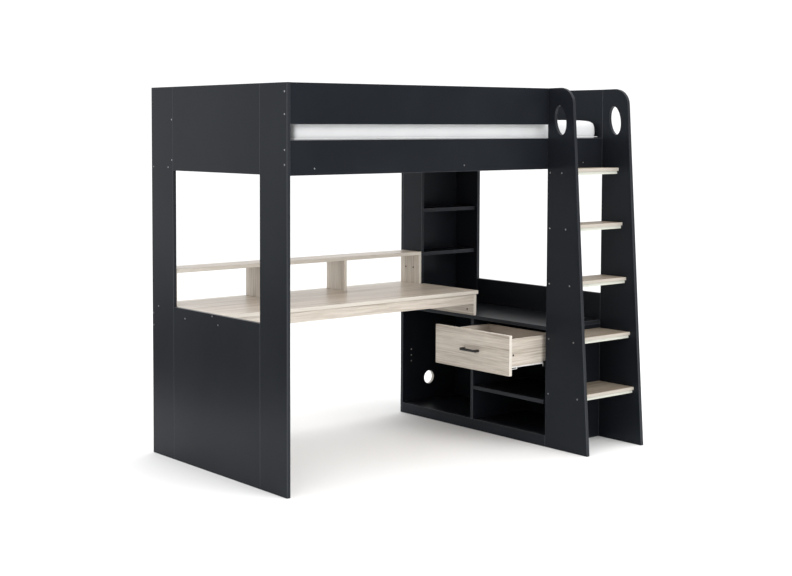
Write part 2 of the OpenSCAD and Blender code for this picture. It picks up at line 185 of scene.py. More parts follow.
class Graph:
    """The node graph of one material, ending in a Principled shader."""

    def __init__(self, name: str) -> None:
        """Make the material.

        Args:
            name: The material's name.
        """
        self.material = bpy.data.materials.new(name)
        self.material.use_nodes = True
        self.tree = self.material.node_tree
        self.shader = self.tree.nodes["Principled BSDF"]
        self.place = Wire(self, self.tree.nodes.new("ShaderNodeTexCoord").outputs["Object"])

    def plug(self, socket: bpy.types.NodeSocket, value: Any) -> None:
        """Set or link one input socket.

        Args:
            socket: The input socket.
            value: A wire to link, or a plain value or colour to set.
        """
        if isinstance(value, Wire):
            self.tree.links.new(value.socket, socket)
        elif isinstance(value, tuple) and len(value) == 3 and socket.type == "RGBA":
            socket.default_value = (*value, 1.0)
        else:
            socket.default_value = value

    def add(
        self, kind: str, settings: dict[str, Any], inputs: dict[Any, Any], output: Any
    ) -> Wire:
        """Add one node.

        Args:
            kind: The node's type.
            settings: Its properties, set before its sockets. "stops" fills a colour ramp.
            inputs: Values or wires by the name or number of the input socket.
            output: The name or number of the output socket to return.

        Returns:
            The output socket, wrapped.
        """
        node = self.tree.nodes.new(kind)
        for key, value in settings.items():
            if key == "stops":
                self.fill_ramp(node, value)
            else:
                setattr(node, key, value)
        for key, value in inputs.items():
            self.plug(node.inputs[key], value)
        return Wire(self, node.outputs[output])

    @staticmethod
    def fill_ramp(node: bpy.types.Node, stops: list[tuple[float, Colour]]) -> None:
        """Give a colour ramp its stops.

        Args:
            node: The ramp node.
            stops: Pairs of a position and a colour, in rising order.
        """
        elements = node.color_ramp.elements
        while len(elements) < len(stops):
            elements.new(1.0)
        for element, (position, colour) in zip(elements, stops):
            element.position = position
            element.color = (*colour, 1.0)

    def stretched(self, scale: Triple) -> Wire:
        """Scale the object coordinates along each axis.

        Args:
            scale: The factor along X, Y and Z.

        Returns:
            The scaled coordinates.
        """
        return self.add("ShaderNodeMapping", {}, {"Vector": self.place, "Scale": scale}, 0)

    def noise(self, place: Wire, scale: float, detail: float = 4.0, rough: float = 0.5) -> Wire:
        """Add a noise texture.

        Args:
            place: The coordinates.
            scale: Its scale.
            detail: Its octaves.
            rough: How strong the fine octaves are.

        Returns:
            The noise value, from 0 to 1.
        """
        inputs = {"Vector": place, "Scale": scale, "Detail": detail, "Roughness": rough}
        return self.add("ShaderNodeTexNoise", {}, inputs, 0)

    def component(self, vector: Wire, axis: Axis) -> Wire:
        """Take one component of a vector.

        Args:
            vector: The vector.
            axis: Which component.

        Returns:
            The component as a value.
        """
        return self.add("ShaderNodeSeparateXYZ", {}, {0: vector}, axis.value)

    def normal(self) -> Wire:
        """Return the surface normal in the object's own frame."""
        return Wire(self, self.tree.nodes.new("ShaderNodeTexCoord").outputs["Normal"])

    def mix(self, share: Operand, first: Any, second: Any, blend: str = "MIX") -> Wire:
        """Mix two colours.

        Args:
            share: How much of the second, from 0 to 1.
            first: The first colour or wire.
            second: The second colour or wire.
            blend: The blend mode.

        Returns:
            The mixed colour.
        """
        settings = {"data_type": "RGBA", "blend_type": blend}
        return self.add("ShaderNodeMix", settings, {0: share, 6: first, 7: second}, 2)

    def ramp(self, value: Wire, stops: list[tuple[float, Colour]]) -> Wire:
        """Colour a value with a ramp.

        Args:
            value: The value, from 0 to 1.
            stops: The ramp's stops.

        Returns:
            The colour.
        """
        return self.add("ShaderNodeValToRGB", {"stops": stops}, {0: value}, 0)

    def finish(
        self,
        colour: Any,
        roughness: Operand,
        height: Optional[Wire] = None,
        depth: float = 0.0001,
        **fixed: Union[float, Colour],
    ) -> bpy.types.Material:
        """Feed the shader.

        Args:
            colour: The base colour or its wire.
            roughness: The roughness or its wire.
            height: The relief, from 0 to 1.
            depth: How deep the relief is, in metres.
            fixed: Uniform values by the shader's socket names, with _ for a space.

        Returns:
            The finished material.
        """
        self.plug(self.shader.inputs["Base Color"], colour)
        self.plug(self.shader.inputs["Roughness"], roughness)
        for key, value in fixed.items():
            self.plug(self.shader.inputs[key.replace("_", " ")], value)
        if height is not None:
            inputs = {"Height": height, "Distance": depth, "Strength": 1.0}
            relief = self.add("ShaderNodeBump", {}, inputs, 0)
            self.plug(self.shader.inputs["Normal"], relief)
        return self.material


def across(along: Axis, long: float, short: float) -> Triple:
    """Give texture scales that stretch a pattern along one axis.

    Args:
        along: The axis that the pattern runs along.
        long: The scale along that axis.
        short: The scale across it.

    Returns:
        The scale for each axis.
    """
    return tuple(long if axis is along else short for axis in Axis)


# ---------------------------------------------------------------- finishes


@dataclass(frozen=True)
class Hole:
    """A round hole along Y in a board."""

    x: float
    z: float
    radius: float
    mouth: float


@dataclass(frozen=True)
class CharcoalLaminate:
    """Dark satin laminate with edge bands lighter than its faces, and painted highlights on the
    slanted faces of its rounded edges.
    """

    thin: Axis
    face: Colour = (0.0090, 0.0103, 0.0132)
    edge: Colour = (0.0200, 0.0215, 0.0255)
    arris_highlight: Colour = (0.0850, 0.0880, 0.0960)
    gloss: float = 0.25

    def make(self, holes: tuple["Hole", ...] = ()) -> bpy.types.Material:
        """Build the material.

        Args:
            holes: The holes along Y whose raw walls show.

        Returns:
            The material.
        """
        graph = Graph(f"charcoal_laminate_{self.thin.name.lower()}" + ("_bored" if holes else ""))
        broad = graph.noise(graph.place, 3.0, 3.0)
        grain = graph.noise(graph.place, 1400.0, 2.0, 0.6)
        smear = graph.noise(graph.stretched((7.0, 7.0, 2.5)), 1.0, 5.0, 0.6)
        facing = abs(graph.component(graph.normal(), self.thin))
        banded = facing.step(0.85, 0.55)
        tint = graph.mix(broad.step(0.35, 0.7), self.face, tuple(c * 1.18 for c in self.face))
        colour = graph.mix(banded, tint, self.edge)
        # Painted highlight: the slanted faces of chamfered and rounded edges are coloured pale,
        # standing in for the light that they catch.
        slanted = facing.step(0.93, 0.85) * facing.step(0.30, 0.42)
        colour = graph.mix(slanted, colour, self.arris_highlight)
        roughness = self.gloss + 0.10 * smear + 0.04 * grain
        for hole in holes:
            colour = self.raw_wall(graph, colour, hole)
        return graph.finish(
            colour, roughness, grain, 0.00001,
            Specular_IOR_Level=0.15, Specular_Tint=(0.80, 0.90, 1.0),
        )

    @staticmethod
    def raw_wall(graph: Graph, colour: Wire, hole: "Hole") -> Wire:
        """Lay pale particle board on the wall and the bottom of a hole.

        Args:
            graph: The material's graph.
            colour: The laminate's colour.
            hole: The hole.

        Returns:
            The colour with the hole's wall.
        """
        x, y, z = (graph.component(graph.place, axis) for axis in Axis)
        away_x, away_z = x - hole.x, z - hole.z
        distance = (away_x * away_x + away_z * away_z) ** 0.5
        chipped = hole.radius < 0.006
        deep = 1.0 if chipped else y.step(hole.mouth + 0.0003, hole.mouth + 0.0006)
        rim = 0.0016 if chipped else 0.0010
        wall = distance.step(hole.radius + rim, hole.radius + rim - 0.0004) * deep
        chips = graph.noise(graph.place, 420.0, 3.0, 0.7)
        raw = graph.ramp(chips, [(0.3, (0.36, 0.33, 0.29)), (0.7, (0.66, 0.63, 0.58))])
        return graph.mix(wall, colour, raw)


@dataclass(frozen=True)
class OakLaminate:
    """Printed oak laminate: fine streaks along the grain, pores, and paler edge bands."""

    name: str
    grain: Axis
    thin: Axis
    pale: Colour = (0.630, 0.575, 0.505)
    mid: Colour = (0.500, 0.445, 0.380)
    dark: Colour = (0.290, 0.243, 0.193)
    band: Colour = (0.650, 0.610, 0.545)
    upper: Colour = (1.0, 1.0, 1.0)
    gloss: float = 0.24

    def make(self) -> bpy.types.Material:
        """Build the material.

        Returns:
            The material.
        """
        graph = Graph(self.name)
        warp = graph.noise(graph.stretched(across(self.grain, 1.6, 5.0)), 1.0, 3.0)
        drift = graph.add(
            "ShaderNodeVectorMath",
            {"operation": "SCALE"},
            {0: graph.add("ShaderNodeTexNoise", {}, {"Vector": graph.place, "Scale": 2.2}, 1),
             "Scale": 0.012},
            0,
        )
        place = graph.add(
            "ShaderNodeVectorMath", {"operation": "ADD"}, {0: graph.place, 1: drift}, 0
        )
        broad = self.streaks(graph, place, 1.1, 26.0, 5.0)
        fine = self.streaks(graph, place, 3.5, 150.0, 4.0)
        pores = self.streaks(graph, place, 22.0, 820.0, 2.0)
        tone = 0.36 * broad + 0.46 * fine + 0.18 * warp
        stops = [(0.36, self.dark), (0.47, self.mid), (0.56, self.pale)]
        face = graph.ramp(tone, stops)
        face = graph.mix(pores.step(0.60, 0.72) * 0.45, face, self.dark)
        # Painted shade: faces that look up are multiplied by the upper colour, which is white by
        # default; a darker one makes the tops darker than the other faces.
        top = graph.component(graph.normal(), Axis.Z).step(0.6, 0.9)
        face = graph.mix(top, face, graph.mix(1.0, face, self.upper, "MULTIPLY"))
        banded = abs(graph.component(graph.normal(), self.thin)).step(0.85, 0.55)
        edge = graph.mix(fine.step(0.35, 0.65) * 0.35, self.band, self.mid)
        colour = graph.mix(banded, face, edge)
        roughness = self.gloss + 0.12 * pores + 0.06 * fine
        return graph.finish(colour, roughness, 1.0 - pores, 0.00005, Specular_IOR_Level=0.5)

    def streaks(
        self, graph: Graph, place: Wire, long: float, short: float, detail: float
    ) -> Wire:
        """Add noise drawn out along the grain.

        Args:
            graph: The material's graph.
            place: The coordinates.
            long: The scale along the grain.
            short: The scale across it.
            detail: The octaves.

        Returns:
            The noise value.
        """
        drawn = graph.add(
            "ShaderNodeMapping", {}, {"Vector": place, "Scale": across(self.grain, long, short)}, 0
        )
        return graph.noise(drawn, 1.0, detail, 0.62)


@dataclass(frozen=True)
class PlanedWood:
    """Bare softwood with growth lines along one axis."""

    name: str
    grain: Axis
    pale: Colour = (0.68, 0.50, 0.31)
    dark: Colour = (0.48, 0.30, 0.15)

    def make(self) -> bpy.types.Material:
        """Build the material.

        Returns:
            The material.
        """
        graph = Graph(self.name)
        drawn = graph.stretched(across(self.grain, 1.2, 30.0))
        rings = graph.noise(drawn, 1.0, 5.0, 0.55)
        lines = (rings * 38.0).sine() * 0.5 + 0.5
        fibre = graph.noise(graph.stretched(across(self.grain, 20.0, 900.0)), 1.0, 2.0)
        colour = graph.mix(lines * 0.55 + fibre * 0.25, self.pale, self.dark)
        return graph.finish(colour, 0.55 + 0.2 * fibre, fibre, 0.00008)


@dataclass(frozen=True)
class PlainCoat:
    """A coating or a moulded surface with a fine relief and uneven gloss."""

    name: str
    colour: Colour
    worn: Colour
    roughness: float
    metal: float = 0.0
    relief: float = 0.00001
    scale: float = 900.0

    def make(self) -> bpy.types.Material:
        """Build the material.

        Returns:
            The material.
        """
        graph = Graph(self.name)
        fine = graph.noise(graph.place, self.scale, 3.0, 0.6)
        cloud = graph.noise(graph.place, 35.0, 4.0)
        colour = graph.mix(cloud.step(0.42, 0.72), self.colour, self.worn)
        roughness = self.roughness + 0.12 * cloud + 0.06 * fine
        return graph.finish(colour, roughness, fine, self.relief, Metallic=self.metal)


@dataclass(frozen=True)
class KnitCover:
    """Off-white knitted cloth with a fine rib and soft shading in its hollows."""

    name: str = "knit_cover"
    colour: Colour = (0.62, 0.625, 0.63)
    deep: Colour = (0.49, 0.495, 0.50)
    rib: float = 1500.0

    def make(self) -> bpy.types.Material:
        """Build the material.

        Returns:
            The material.
        """
        graph = Graph(self.name)
        x, y, z = (graph.component(graph.place, axis) for axis in Axis)
        wales = ((x + y) * self.rib).sine() * 0.5 + 0.5
        courses = ((z + 0.5 * y) * self.rib * 1.3).sine() * 0.5 + 0.5
        fluff = graph.noise(graph.place, 260.0, 5.0, 0.65)
        wave = graph.noise(graph.place, 9.0, 3.0)
        height = 0.4 * wales + 0.35 * courses + 0.25 * fluff
        shade = (1.0 - height) * 0.45 + wave.step(0.3, 0.8) * 0.25
        colour = graph.mix(shade, self.colour, self.deep)
        return graph.finish(
            colour, 0.86 + 0.08 * fluff, height, 0.0004, Sheen_Weight=0.35, Sheen_Roughness=0.5
        )


# ---------------------------------------------------------------- mesh helpers


def new_piece(name: str, mesh: bpy.types.Mesh, material: bpy.types.Material) -> bpy.types.Object:
    """Put a mesh into the scene.

    Args:
        name: The piece's name.
        mesh: Its mesh.
        material: Its finish.

    Returns:
        The new object.
    """
    piece = bpy.data.objects.new(name, mesh)
    bpy.context.scene.collection.objects.link(piece)
    mesh.materials.clear()
    mesh.materials.append(material)
    return piece


def smooth(piece: bpy.types.Object, degrees: float = 30.0) -> None:
    """Shade a piece smoothly, with its sharp edges kept.

    Args:
        piece: The piece.
        degrees: The angle above which an edge stays sharp.
    """
    bpy.context.view_layer.objects.active = piece
    for other in bpy.context.selected_objects:
        other.select_set(False)
    piece.select_set(True)
    bpy.ops.object.shade_smooth_by_angle(angle=math.radians(degrees))
    piece.select_set(False)


def apply_modifiers(piece: bpy.types.Object) -> None:
    """Turn a piece's modified form into its own mesh.

    Args:
        piece: The piece.
    """
    graph = bpy.context.evaluated_depsgraph_get()
    mesh = bpy.data.meshes.new_from_object(piece.evaluated_get(graph))
    old = piece.data
    piece.modifiers.clear()
    piece.data = mesh
    bpy.data.meshes.remove(old)


def softened_copy(
    node: str, name: str, material: bpy.types.Material, width: float
) -> bpy.types.Object:
    """Copy a node's mesh with its sharp edges rounded over.

    Args:
        node: The node to copy and replace.
        name: The new piece's name.
        material: Its finish.
        width: The radius of the rounding.

    Returns:
        The piece, riding on the node's body.
    """
    source = frame["nodes"][node]
    piece = new_piece(name, source.data.copy(), material)
    build = bmesh.new()
    build.from_mesh(piece.data)
    bmesh.ops.remove_doubles(build, verts=build.verts, dist=1e-5)
    flat = math.radians(1.0)
    bmesh.ops.dissolve_limit(build, angle_limit=flat, verts=build.verts, edges=build.edges)
    sharp = [
        edge for edge in build.edges
        if len(edge.link_faces) == 2
        and edge.calc_face_angle() > math.radians(40.0)
        and edge.calc_length() > 2.0 * width
    ]
    bmesh.ops.bevel(
        build, geom=sharp, offset=width, segments=2, affect="EDGES", profile=0.5,
        clamp_overlap=False,
    )
    build.to_mesh(piece.data)
    build.free()
    smooth(piece)
    even = piece.modifiers.new("even_shading", "WEIGHTED_NORMAL")
    even.keep_sharp = True
    even.weight = 100
    apply_modifiers(piece)
    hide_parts(node)
    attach(piece, source["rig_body"])
    return piece


def tube(
    path: list[Vector], radius: float, closed: bool, sides: int = 10
) -> bpy.types.Mesh:
    """Sweep a round section along a path.

    Args:
        path: The points of the centre line.
        radius: The radius of the section.
        closed: Whether the path joins up with its start.
        sides: The number of sides of the section.

    Returns:
        The mesh of the tube, open at the ends of an open path.
    """
    build = bmesh.new()
    count = len(path)
    rings = []
    for i, point in enumerate(path):
        before = path[i - 1] if i or closed else point
        after = path[(i + 1) % count] if i < count - 1 or closed else point
        ahead = (after - before).normalized()
        up = Vector((0.0, 0.0, 1.0)) if abs(ahead.z) < 0.9 else Vector((1.0, 0.0, 0.0))
        side = ahead.cross(up).normalized()
        over = side.cross(ahead)
        turn = [2.0 * math.pi * k / sides for k in range(sides)]
        spokes = [side * math.cos(a) + over * math.sin(a) for a in turn]
        rings.append([build.verts.new(point + radius * spoke) for spoke in spokes])
    for i in range(count if closed else count - 1):
        here, there = rings[i], rings[(i + 1) % count]
        for k in range(sides):
            n = (k + 1) % sides
            build.faces.new((here[k], here[n], there[n], there[k]))
    mesh = bpy.data.meshes.new("tube")
    build.to_mesh(mesh)
    build.free()
    mesh.polygons.foreach_set("use_smooth", [True] * len(mesh.polygons))
    return mesh


# ---------------------------------------------------------------- sub-assemblies


@dataclass
class Boards:
    """The laminated boards of the frame, sorted by how each lies."""

    dark: dict[Axis, list[str]] = field(
        default_factory=lambda: {
            Axis.X: [
                "left_rear_post", "left_front_post", "left_upper_panel", "left_lower_panel",
                "right_rear_post", "right_upper_panel", "right_lower_panel",
                "cabinet_plinth", "corner_post",
            ],
            Axis.Y: [
                "front_guard_rail", "front_side_rail", "rear_guard_rail", "rear_side_rail",
                "cabinet_divider", "cabinet_front_side", "corner_back",
            ],
            Axis.Z: [
                "cabinet_top", "cabinet_bottom", "cabinet_shelf",
                "corner_shelf_upper", "corner_shelf_lower",
            ],
        }
    )
    oak: dict[tuple[Axis, Axis], list[str]] = field(
        default_factory=lambda: {
            (Axis.X, Axis.Z): ["desk_top", "hutch_shelf"],
            (Axis.X, Axis.Y): [
                "desk_front_apron", "desk_rear_apron", "drawer_left_side", "drawer_right_side",
            ],
            (Axis.Y, Axis.X): ["desk_end_panel", "desk_cleat", "drawer_front", "drawer_back"],
            (Axis.Z, Axis.X): ["hutch_supports"],
        }
    )

    def dress(self) -> None:
        """Give every board its laminate."""
        for thin, names in self.dark.items():
            paint(names, CharcoalLaminate(thin).make())
        for (grain, thin), names in self.oak.items():
            name = f"oak_laminate_{grain.name.lower()}{thin.name.lower()}"
            paint(names, OakLaminate(name, grain, thin).make())
        self.dress_bored_side()

    def dress_bored_side(self) -> None:
        """Give the cabinet's rear side its laminate, with raw walls in its round holes."""
        node = "cabinet_rear_side"
        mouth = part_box(node)[0].y
        paint([node], CharcoalLaminate(Axis.Y).make(tuple(self.holes(node, mouth))))

    @staticmethod
    def holes(node: str, mouth: float, reach: float = 0.045) -> list[Hole]:
        """Find the round holes that open in the front face of a board.

        Args:
            node: The board.
            mouth: The Y of its front face.
            reach: The farthest that a hole's edge lies from its centre.

        Returns:
            The holes.
        """
        low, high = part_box(node)
        points = vertices(frame["nodes"][node])
        margin = 0.004
        neighbour = 0.006
        inside = (points[:, 0] > low.x + margin) & (points[:, 0] < high.x - margin)
        inside &= (points[:, 2] > low.z + margin) & (points[:, 2] < high.z - margin)
        rims = points[inside & (np.abs(points[:, 1] - mouth) < 1e-5)][:, [0, 2]]
        found = []
        while len(rims):
            group = rims[:1]
            for _ in range(200):
                near = np.linalg.norm(rims[:, None] - group[None], axis=2).min(axis=1) < neighbour
                if near.sum() == len(group):
                    break
                group = rims[near]
            x, z = (group.min(axis=0) + group.max(axis=0)) / 2.0
            radius = float(np.ptp(group[:, 0]) / 2.0)
            if 0.001 < radius < reach:
                found.append(Hole(float(x), float(z), radius, mouth))
            rims = rims[np.linalg.norm(rims[:, None] - group[None], axis=2).min(axis=1) > 1e-6]
        LOG.info("%s has %d holes", node, len(found))
        return found


@dataclass
class StepLadder:
    """Two slanted boards with hand holes, and five treads on pale bearers."""

    rounding: float = 0.0012
    steps: int = 5

    def build(self) -> None:
        """Make the boards again with rounded edges, and dress the steps."""
        laminate = CharcoalLaminate(Axis.X).make()
        for side in ("left", "right"):
            node = f"ladder_{side}_board"
            piece = softened_copy(node, f"ladder_board_{side}", laminate, self.rounding)
            LOG.info("%s has %d faces", piece.name, len(piece.data.polygons))
        # The treads' darker upper colour paints shade on their tops.
        tread = OakLaminate(
            "oak_tread", Axis.X, Axis.Z, band=(0.40, 0.365, 0.315), upper=(0.50, 0.46, 0.41),
            gloss=0.5,
        )
        bearer = OakLaminate(
            "cream_board", Axis.X, Axis.Z, pale=(0.56, 0.56, 0.49), mid=(0.52, 0.52, 0.45),
            dark=(0.44, 0.43, 0.37), band=(0.56, 0.575, 0.51), gloss=0.5,
        )
        numbers = range(1, self.steps + 1)
        paint([f"step_tread_{i}" for i in numbers], tread.make())
        paint([f"step_bearer_{i}" for i in numbers], bearer.make())


@dataclass
class SleepingDeck:
    """The slats, what they rest on, and the dowels that join the boards."""

    def dress(self) -> None:
        """Give the slats, ledges, cross bars and dowels their bare wood."""
        paint(["bed_slats", "cross_bars"], PlanedWood("pine_across", Axis.Y).make())
        paint(["slat_ledges"], PlanedWood("pine_along", Axis.X).make())
        paint(["panel_dowels"], PlanedWood("beech_dowel", Axis.Y).make())


@dataclass
class Mattress:
    """A padded mattress: crowned faces, and a border with a piped zip seam and bottom edge."""

    corner: float = 0.014
    crown: tuple[float, float] = (0.018, 0.040)
    sole: tuple[float, float] = (0.010, 0.020)
    shrink: float = 0.0045
    levels: int = 28
    voxel: float = 0.011
    pressure: float = 4.0
    cap: float = 0.006
    frames: int = 20
    piping: float = 0.0035
    seam_up: float = 0.535
    seam_width: float = 0.006
    seam_depth: float = 0.0028
    clear: float = 0.0005
    proud: float = 0.004

    def build(self) -> bpy.types.Object:
        """Make the mattress and its piping.

        Returns:
            The mattress.
        """
        low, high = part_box("mattress")
        cover = KnitCover().make()
        piece = new_piece("mattress_cover", self.block(low, high), cover)
        self.inflate(piece)
        self.settle(piece, low, high)
        smooth(piece, 60.0)
        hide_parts("mattress")
        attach(piece, "frame")
        self.pipe(piece, low, high)
        return piece

    def block(self, low: Vector, high: Vector) -> bpy.types.Mesh:
        """Make the cover's starting form, with round corners and edges.

        Args:
            low: The lowest corner of its space.
            high: The highest corner.

        Returns:
            The mesh.
        """
        build = bmesh.new()
        bottom, top = low.z + self.shrink, high.z - self.shrink
        rings = []
        for k in range(self.levels + 1):
            up = 0.5 - 0.5 * math.cos(math.pi * k / self.levels)
            z = bottom + up * (top - bottom)
            inset = self.rounding(top - z, self.crown) + self.rounding(z - bottom, self.sole)
            points = self.outline(low, high, z, self.shrink + inset, self.corner + 0.6 * inset)
            rings.append([build.verts.new(point) for point in points])
        for here, there in zip(rings, rings[1:]):
            for k in range(len(here)):
                n = (k + 1) % len(here)
                build.faces.new((here[k], here[n], there[n], there[k]))
        build.faces.new(rings[0])
        build.faces.new(rings[-1])
        bmesh.ops.recalc_face_normals(build, faces=build.faces)
        mesh = bpy.data.meshes.new("mattress_cover")
        build.to_mesh(mesh)
        build.free()
        return mesh

    @staticmethod
    def rounding(away: float, size: tuple[float, float]) -> float:
        """Tell how far an edge draws in at a distance from a flat face.

        Args:
            away: The distance from the face.
            size: The width and the height of the elliptic edge.

        Returns:
            The inset.
        """
        width, height = size
        left = max(0.0, 1.0 - away / height)
        return width * (1.0 - math.sqrt(max(0.0, 1.0 - left * left)))

    def inflate(self, piece: bpy.types.Object) -> None:
        """Swell the cover with a cloth simulation, with a cap on how far a point moves.

        Args:
            piece: The cover.
        """
        remesh = piece.modifiers.new("voxels", "REMESH")
        remesh.mode = "VOXEL"
        remesh.voxel_size = self.voxel
        apply_modifiers(piece)
        start = vertices(piece)
        cloth = piece.modifiers.new("stuffing", "CLOTH")
        cloth.settings.use_pressure = True
        cloth.settings.uniform_pressure_force = self.pressure
        cloth.settings.effector_weights.gravity = 0.0
        cloth.settings.quality = 4
        cloth.collision_settings.use_self_collision = False
        scene = bpy.context.scene
        for number in range(1, self.frames + 1):
            scene.frame_set(number)
        swollen = bpy.data.meshes.new_from_object(
            piece.evaluated_get(bpy.context.evaluated_depsgraph_get())
        )
        moved = np.zeros(len(swollen.vertices) * 3)
        swollen.vertices.foreach_get("co", moved)
        bpy.data.meshes.remove(swollen)
        piece.modifiers.clear()
        scene.frame_set(1)
        step = moved.reshape(-1, 3) - start
        reach = np.linalg.norm(step, axis=1, keepdims=True)
        step *= np.minimum(1.0, self.cap / np.maximum(reach, 1e-9))
        write_vertices(piece, start + step)
        relax = piece.modifiers.new("relax", "SMOOTH")
        relax.factor = 0.5
        relax.iterations = 4
        finer = piece.modifiers.new("finer", "SUBSURF")
        finer.levels = 1
        finer.render_levels = 1
        apply_modifiers(piece)

    def settle(self, piece: bpy.types.Object, low: Vector, high: Vector) -> None:
        """Flatten the bottom on the slats, draw in the zip seam and keep within the space.

        Args:
            piece: The cover.
            low: The lowest corner of its space.
            high: The highest corner.
        """
        points = vertices(piece)
        seam = low.z + self.seam_up * (high.z - low.z)
        groove = np.exp(-(((points[:, 2] - seam) / self.seam_width) ** 2)) * self.seam_depth
        centre = np.array([(low.x + high.x) / 2.0, (low.y + high.y) / 2.0])
        half = np.array([(high.x - low.x) / 2.0, (high.y - low.y) / 2.0])
        away = (points[:, :2] - centre) / half
        edgewise = np.clip((np.abs(away).max(axis=1) - 0.9) / 0.1, 0.0, 1.0)
        side = np.sign(away) * (np.abs(away) > 0.93)
        points[:, :2] -= side * (groove * edgewise)[:, None]
        points[:, 2] = np.maximum(points[:, 2], low.z + self.clear)
        highest = np.array(high) + (0.0, 0.0, self.proud)
        write_vertices(piece, np.clip(points, np.array(low), highest))

    def pipe(self, piece: bpy.types.Object, low: Vector, high: Vector) -> None:
        """Lay a piping round the bottom edge and the zip seam.

        Args:
            piece: The cover. It is not used.
            low: The lowest corner of its space.
            high: The highest corner.
        """
        cloth = KnitCover("piping_cloth", (0.78, 0.785, 0.785), (0.64, 0.645, 0.65)).make()
        height = high.z - low.z
        levels = {"zip": (self.seam_up * height, 0.0016, 0.45), "bottom": (0.024, 0.0040, 0.9)}
        for label, (up, inward, share) in levels.items():
            path = self.outline(low, high, low.z + up, inward, self.corner)
            mesh = tube(path, self.piping * share, True)
            cord = new_piece(f"mattress_piping_{label}", mesh, cloth)
            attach(cord, "frame")

    @staticmethod
    def outline(
        low: Vector, high: Vector, z: float, inward: float, radius: float
    ) -> list[Vector]:
        """Trace the mattress in plan at one height.

        Args:
            low: The lowest corner of its space.
            high: The highest corner.
            z: The height of the outline.
            inward: How far inside the space the outline runs.
            radius: The radius of its corners.

        Returns:
            The points, going round once.
        """
        corners = [
            (high.x - inward - radius, high.y - inward - radius, 0.0),
            (low.x + inward + radius, high.y - inward - radius, 90.0),
            (low.x + inward + radius, low.y + inward + radius, 180.0),
            (high.x - inward - radius, low.y + inward + radius, 270.0),
        ]
        points = []
        for x, y, start in corners:
            for step in range(9):
                angle = math.radians(start + 90.0 * step / 8.0)
                out_x, out_y = radius * math.cos(angle), radius * math.sin(angle)
                points.append(Vector((x + out_x, y + out_y, z)))
        return points


@dataclass
class Drawer:
    """The drawer's bottom, its bar handle and the runners with their rollers."""

    rounding: float = 0.0022

    def build(self) -> None:
        """Dress the hardware and make the handle."""
        board = PlainCoat("hardboard", (0.30, 0.19, 0.11), (0.38, 0.25, 0.15), 0.55, scale=600.0)
        steel = PlainCoat("white_runner", (0.78, 0.78, 0.77), (0.70, 0.70, 0.70), 0.32)
        black = PlainCoat("black_runner", (0.012, 0.012, 0.013), (0.020, 0.020, 0.021), 0.35)
        nylon = PlainCoat("nylon", (0.80, 0.80, 0.78), (0.72, 0.72, 0.70), 0.40)
        paint(["drawer_bottom"], board.make())
        paint(["drawer_runners"], steel.make())
        paint(["cabinet_runners"], black.make())
        paint(["drawer_rollers", "cabinet_rollers"], nylon.make())
        self.handle()

    def handle(self) -> bpy.types.Object:
        """Make the handle again with rounded edges.

        Returns:
            The handle.
        """
        coat = PlainCoat("black_coat", (0.004, 0.004, 0.005), (0.007, 0.007, 0.008), 0.45)
        piece = softened_copy("drawer_handle", "handle_bar", coat.make(), self.rounding)
        return piece


